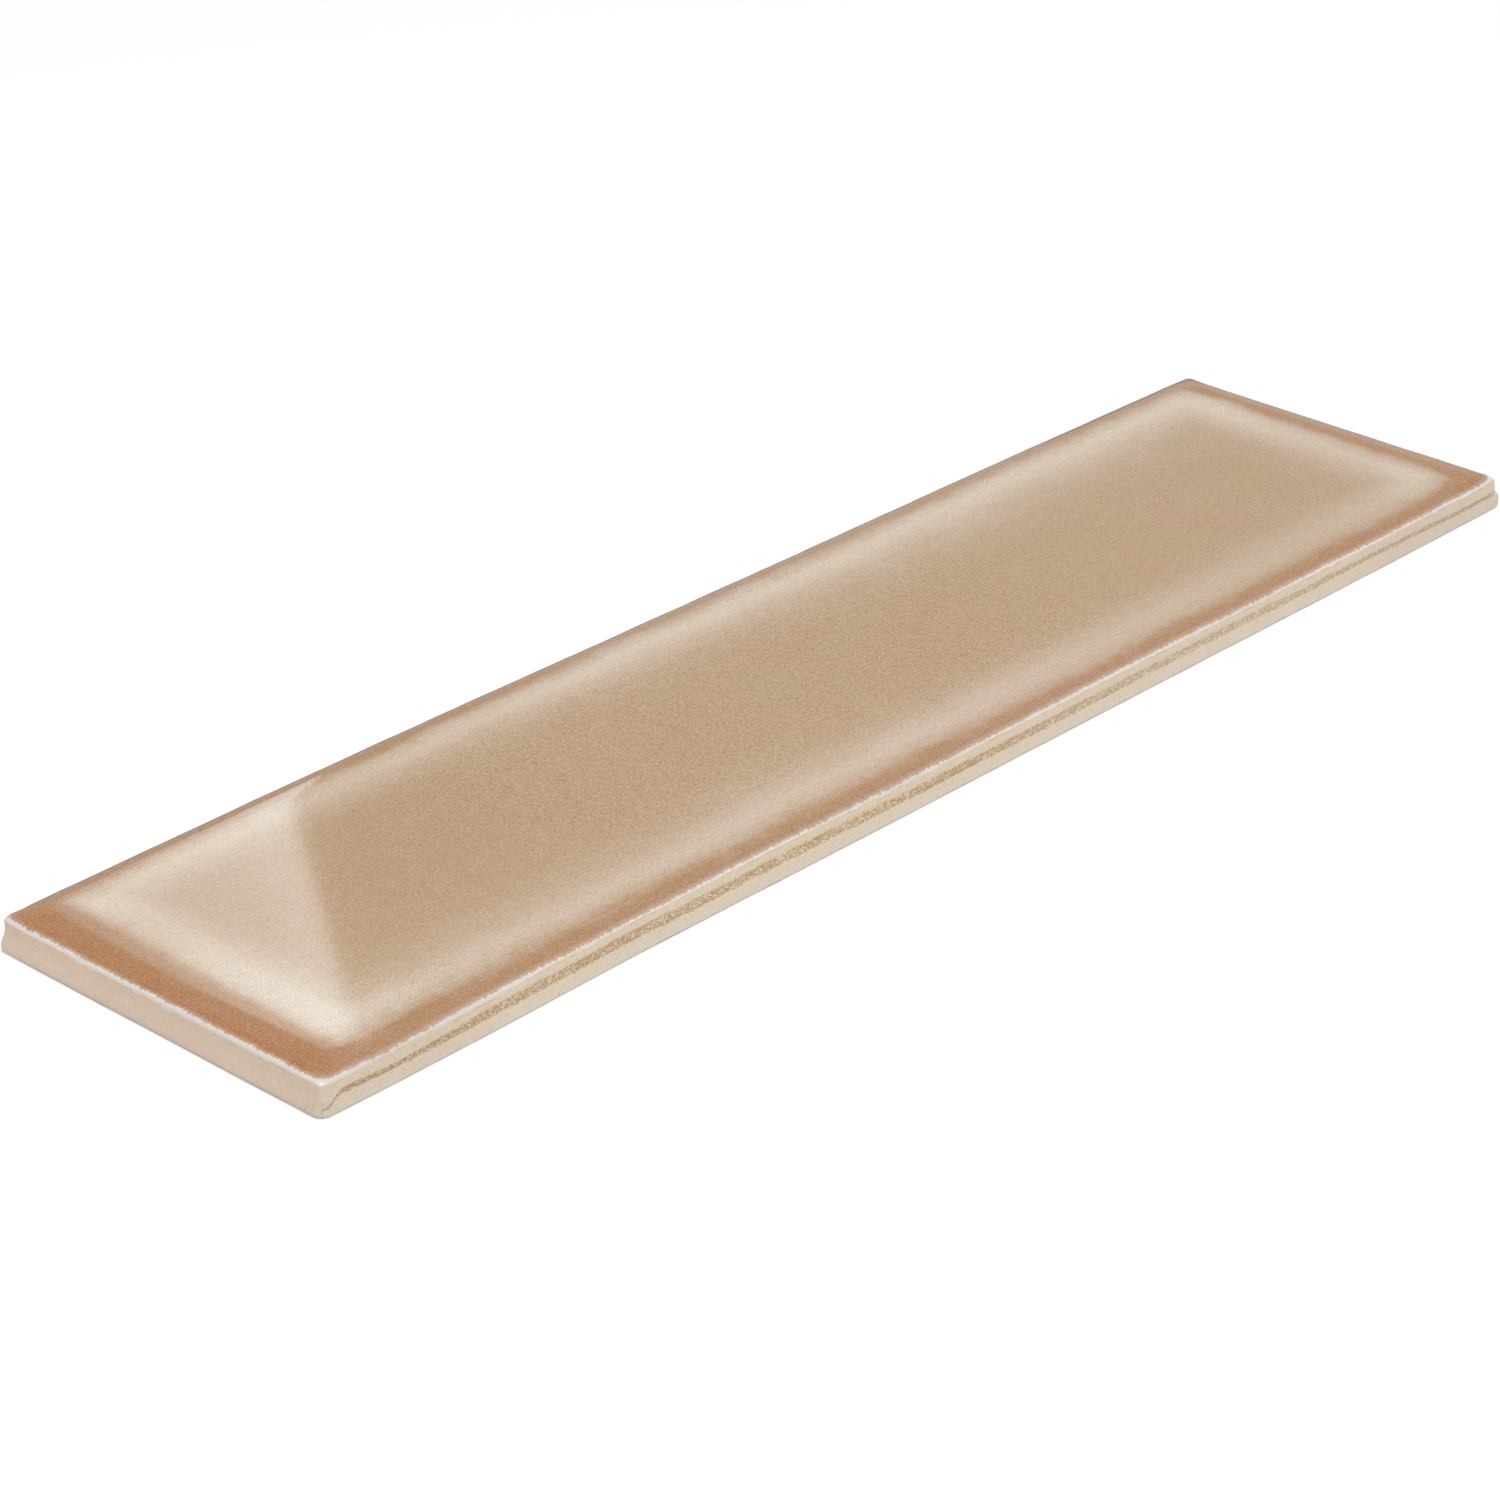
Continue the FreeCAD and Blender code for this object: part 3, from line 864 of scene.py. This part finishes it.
# Painted contact shadow along the foot, and painted shade above it on the ends
DASH_STRETCH, DASH_SIZE = (0.3, 0.3, 1), 3.0
DASH_EDGES = (0.48, 0.66)
DASH_STRENGTH = (0.40, 0.95)
FOOT_STRETCH, FOOT_SIZE, FOOT_UNEVEN = (0.2, 0.2, 1), 1.0, 0.4
FOOT_Z = (0.32, 0.08)
END_SHADE_Z, END_SHADE = (0.9, 0.05), 0.27
END_FOOT_Z, END_FOOT_SHADE = (0.5, 0.15), 0.14


def painted_foot_shadow(s, biscuit):
    """Painted contact shadow: grey dashes where the tile meets the ground, and a soft painted shade above
    it on the ends.
    """
    dashes = s.step(s.noise(s.place(DASH_STRETCH), DASH_SIZE), *DASH_EDGES)
    uneven = s.around_zero(s.noise(s.place(FOOT_STRETCH), FOOT_SIZE), FOOT_UNEVEN)
    contact_shadow = s.times(s.step(s.plus(s.z, uneven), *FOOT_Z), s.between(dashes, *DASH_STRENGTH))
    biscuit = s.mix(contact_shadow, biscuit, FOOT_SHADOW_GREY)
    wide = s.times(s.step(s.z, *END_SHADE_Z), END_SHADE)
    narrow = s.times(s.step(s.z, *END_FOOT_Z), END_FOOT_SHADE)
    return s.mix(s.times(s.plus(wide, narrow), s.end_side), biscuit, FOOT_SHADOW_GREY)


# Painted shade on the biscuit just below the arris, where the rounding faces up into the light
ARRIS_SHADE_RIM = (-0.75, -0.30)
LOW_EDGE_NOISE = (1.0, 0.50, 3, 0.6)  # size, amount, detail and roughness
CHIP_PATCHES = (3.2, 0.62, 0.72, 1)  # size, edges and detail
CHIP_DEPTH = 0.40
BISCUIT_RIM = (-0.04, -0.14)
UNDER_RIM = (-0.34, -0.20)
UNDER_PATCHES = (4.0, 0.50, 0.66)
UNDER_SHARE = 0.45
CORNER_PATCHES = (0.9, 0.25, 0.45)
CORNER_SHARE = 0.8


def below_arris(s, biscuit, rim_colour):
    """The biscuit next to the bare rim, with a painted shade just below the arris and a thin brown line
    under the rim in places, and the mask of the biscuit.
    """
    biscuit = s.tint(s.step(s.rim, *ARRIS_SHADE_RIM), biscuit, ARRIS_PAINTED_SHADE)
    low_edge = s.plus(s.rim, s.mottle(*LOW_EDGE_NOISE))
    chips = s.times(s.patches(*CHIP_PATCHES), CHIP_DEPTH)
    low_edge = s.plus(low_edge, s.plus(chips, s.attribute("rim_drop")))
    under = s.times(s.step(low_edge, *UNDER_RIM), s.patches(*UNDER_PATCHES))
    biscuit = s.mix(s.times(under, UNDER_SHARE), biscuit, SEAM_BROWN)
    bare = s.times(s.attribute("bare_corner"), s.patches(*CORNER_PATCHES))
    biscuit = s.mix(s.times(bare, CORNER_SHARE), biscuit, rim_colour)
    return biscuit, s.step(low_edge, *BISCUIT_RIM)


RELIEF_NOISE = (0.3, 3, 0.65)  # size, detail and roughness
RELIEF_DEPTH = 0.06
RELIEF_STRENGTH = 0.6
LINE_SUNK = -0.8
GLAZE_ROUGHNESS = 0.055
RIM_ROUGHNESS = 0.22
BISCUIT_ROUGHNESS = 0.9


def biscuit_relief(s, body, brown):
    """A fine grain on the biscuit, with the pressing line sunk into it."""
    bump = s.node("ShaderNodeBump")
    bump.inputs["Distance"].default_value = RELIEF_DEPTH * MM
    s.set(bump.inputs["Strength"], s.times(body, RELIEF_STRENGTH))
    s.set(bump.inputs["Height"], s.plus(s.noise(s.here, *RELIEF_NOISE), s.times(brown, LINE_SUNK)))
    return bump.outputs[0]


def glazed_body():
    """Reactive glaze on the face, bare white on the arris, matt biscuit below and behind."""
    material = bpy.data.materials.new("glazed_body")
    s = TileNodes(material)
    rim_top, bare, rim_colour = bare_rim(s)
    face = face_colour(s, rim_top, bare, rim_colour)
    biscuit, chance = biscuit_colour(s)
    biscuit, brown = pressing_line(s, biscuit, chance)
    biscuit, body = below_arris(s, painted_foot_shadow(s, biscuit), rim_colour)
    face_roughness = s.mix(bare, (GLAZE_ROUGHNESS,) * 3, (RIM_ROUGHNESS,) * 3)
    shader = s.node("ShaderNodeBsdfPrincipled")
    s.set(shader.inputs["Base Color"], s.mix(body, face, biscuit))
    s.set(shader.inputs["Roughness"], s.mix(body, face_roughness, (BISCUIT_ROUGHNESS,) * 3))
    s.set(shader.inputs["Normal"], biscuit_relief(s, body, brown))
    s.surface("ShaderNodeOutputMaterial", shader.outputs[0])
    return material


def link(obj):
    bpy.context.scene.collection.objects.link(obj)
    return obj


tile_piece = link(bpy.data.objects.new("wall_tile_fired", tile_mesh()))
tile_piece.data.materials.append(glazed_body())
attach(tile_piece, "root")
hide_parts("wall_tile")

# Stage, light and camera, in metres
FLOOR_REACH = 4.0
FLOOR_LEVEL = -0.00012
FLOOR_BOUNCE = 0.85  # the grey that throws light back
FLOOR_SEEN = 0.6  # the grey that the camera sees, under its own faint glow
FLOOR_GLOW = 0.42
WORLD_BOUNCE = 0.6
WORLD_SEEN = 1.0

# The panel stands behind the tile and shows in the glaze at the left end, up to its near upright edge
PANEL_EDGE = (0.740, 0.997, 0.7273)
PANEL_TOP = (-0.1377, -0.5017, 0.8540)
PANEL_BACK = (49.35, 28.85)  # azimuth and elevation
PANEL_ABOVE = 0.076
PANEL_BELOW = 0.224
PANEL_WIDTH = 0.145
PANEL_RADIANCE = 2.30
PANEL_COLOUR = (0.84, 0.96, 1.0)

# The panel's light along its width, and where it begins and is full along its height
PANEL_ACROSS = [(0.0, 1.0), (0.09, 1.0), (0.14, 0.89), (0.19, 0.79), (0.34, 0.68), (0.46, 0.57),
                (0.59, 0.47), (0.69, 0.36), (0.80, 0.30), (0.90, 0.20), (1.0, 0.0)]
PANEL_TOP_FADE = (1.0, 0.96)
PANEL_FOOT_FADE = (0.0, 0.10)

KEY_DIRECTION = (-118, 72)  # azimuth and elevation
KEY_DISTANCE = 1.6
KEY_SIZE = 0.8
KEY_RADIANCE = 8.9

CAMERA_ANGLES = (-46.903, 27.124, -0.147)  # azimuth from behind the near side, elevation and roll
CAMERA_DISTANCE = 0.754528
CAMERA_TARGET = (-0.025982, -0.007431, 0.004)
LENS = 108.162
SENSOR_WIDTH = 36.0
CLIP = (0.02, 50.0)


def seen_rays(s):
    """1 for what is seen straight, mirrored or through glass, and 0 for bounced light."""
    rays = s.node("ShaderNodeLightPath").outputs
    seen = s.math("MAXIMUM", rays["Is Camera Ray"], rays["Is Glossy Ray"])
    return s.math("MAXIMUM", seen, rays["Is Transmission Ray"])


def floor_material():
    """Nearly white where it is seen, and a plain light grey for bounced light."""
    material = bpy.data.materials.new("floor")
    s = Nodes(material)
    plain = s.join("ShaderNodeBsdfDiffuse", (FLOOR_BOUNCE,) * 3)
    soft = s.join("ShaderNodeBsdfDiffuse", (FLOOR_SEEN,) * 3)
    glow = s.node("ShaderNodeEmission")
    s.set(glow.inputs["Strength"], FLOOR_GLOW)
    glowing = s.join("ShaderNodeAddShader", soft, glow.outputs[0])
    s.surface("ShaderNodeOutputMaterial", s.join("ShaderNodeMixShader", seen_rays(s), plain, glowing))
    return material


def floor():
    """A wide floor just under the tile."""
    mesh = bpy.data.meshes.new("floor")
    bm = bmesh.new()
    bmesh.ops.create_grid(bm, x_segments=2, y_segments=2, size=FLOOR_REACH)
    bm.to_mesh(mesh)
    bm.free()
    obj = link(bpy.data.objects.new("floor", mesh))
    obj.location.z = FLOOR_LEVEL
    mesh.materials.append(floor_material())


def world_light():
    """A white surround, dimmer for bounced light than where it is seen."""
    world = bpy.data.worlds.new("studio")
    bpy.context.scene.world = world
    s = Nodes(world)
    back = s.node("ShaderNodeBackground")
    s.set(back.inputs["Strength"], s.between(seen_rays(s), WORLD_BOUNCE, WORLD_SEEN))
    s.surface("ShaderNodeOutputWorld", back.outputs[0])


def softbox(name, centre, aim, top, width, height, radiance):
    """A rectangular lamp at centre, facing aim, with its height along top."""
    back = (centre - aim).normalized()
    across = top.cross(back).normalized()
    data = bpy.data.lights.new(name, "AREA")
    data.shape = "RECTANGLE"
    data.size = width
    data.size_y = height
    data.energy = radiance * math.pi * width * height
    obj = link(bpy.data.objects.new(name, data))
    turned = Matrix((across, back.cross(across), back)).transposed()
    obj.matrix_world = Matrix.Translation(centre) @ turned.to_4x4()
    return data


def shade_panel(data):
    """Let the lamp's light fall off from its near upright edge, and softly at its top and foot."""
    s = Nodes(data, keep=True)
    across, up, _ = s.split(s.node("ShaderNodeNewGeometry").outputs["Parametric"])
    strength = s.ramp(across, 0, 1, PANEL_ACROSS)
    for fade in (PANEL_TOP_FADE, PANEL_FOOT_FADE):
        strength = s.times(strength, s.step(up, *fade))
    s.set(s.tree.nodes["Emission"].inputs["Strength"], strength)


def direction(azimuth, elevation):
    """A unit vector, with azimuth turned from +X towards +Y, in degrees."""
    azimuth, elevation = math.radians(azimuth), math.radians(elevation)
    return Vector((math.cos(elevation) * math.cos(azimuth), math.cos(elevation) * math.sin(azimuth),
                   math.sin(elevation)))


def lamps():
    """The panel behind the tile and the key light above it."""
    top, back = Vector(PANEL_TOP), direction(*PANEL_BACK)
    across = top.cross(back).normalized()
    centre = Vector(PANEL_EDGE) + across * (PANEL_WIDTH / 2) + top * ((PANEL_ABOVE - PANEL_BELOW) / 2)
    height = PANEL_ABOVE + PANEL_BELOW
    panel = softbox("panel", centre, centre - back, top, PANEL_WIDTH, height, PANEL_RADIANCE)
    panel.color = PANEL_COLOUR
    shade_panel(panel)
    key = direction(*KEY_DIRECTION) * KEY_DISTANCE
    softbox("key", key, Vector((0, 0, 0)), Vector((0, 1, 0)), KEY_SIZE, KEY_SIZE, KEY_RADIANCE)


def camera():
    """The photo's view: from the near left, 27 degrees up, 0.75 m away."""
    azimuth, elevation, roll = map(math.radians, CAMERA_ANGLES)
    back = Vector((math.sin(azimuth) * math.cos(elevation), -math.cos(azimuth) * math.cos(elevation),
                   math.sin(elevation)))
    right = (-back).cross(Vector((0, 0, 1))).normalized()
    level = Matrix((right, back.cross(right), back)).transposed()
    data = bpy.data.cameras.new("camera")
    data.sensor_width = SENSOR_WIDTH
    data.lens = LENS
    data.clip_start, data.clip_end = CLIP
    obj = link(bpy.data.objects.new("camera", data))
    turned = level @ Matrix.Rotation(roll, 3, "Z")
    place = Matrix.Translation(Vector(CAMERA_TARGET) + back * CAMERA_DISTANCE)
    obj.matrix_world = place @ turned.to_4x4()
    bpy.context.scene.camera = obj


floor()
world_light()
lamps()
camera()
bpy.context.scene.view_settings.view_transform = "Standard"
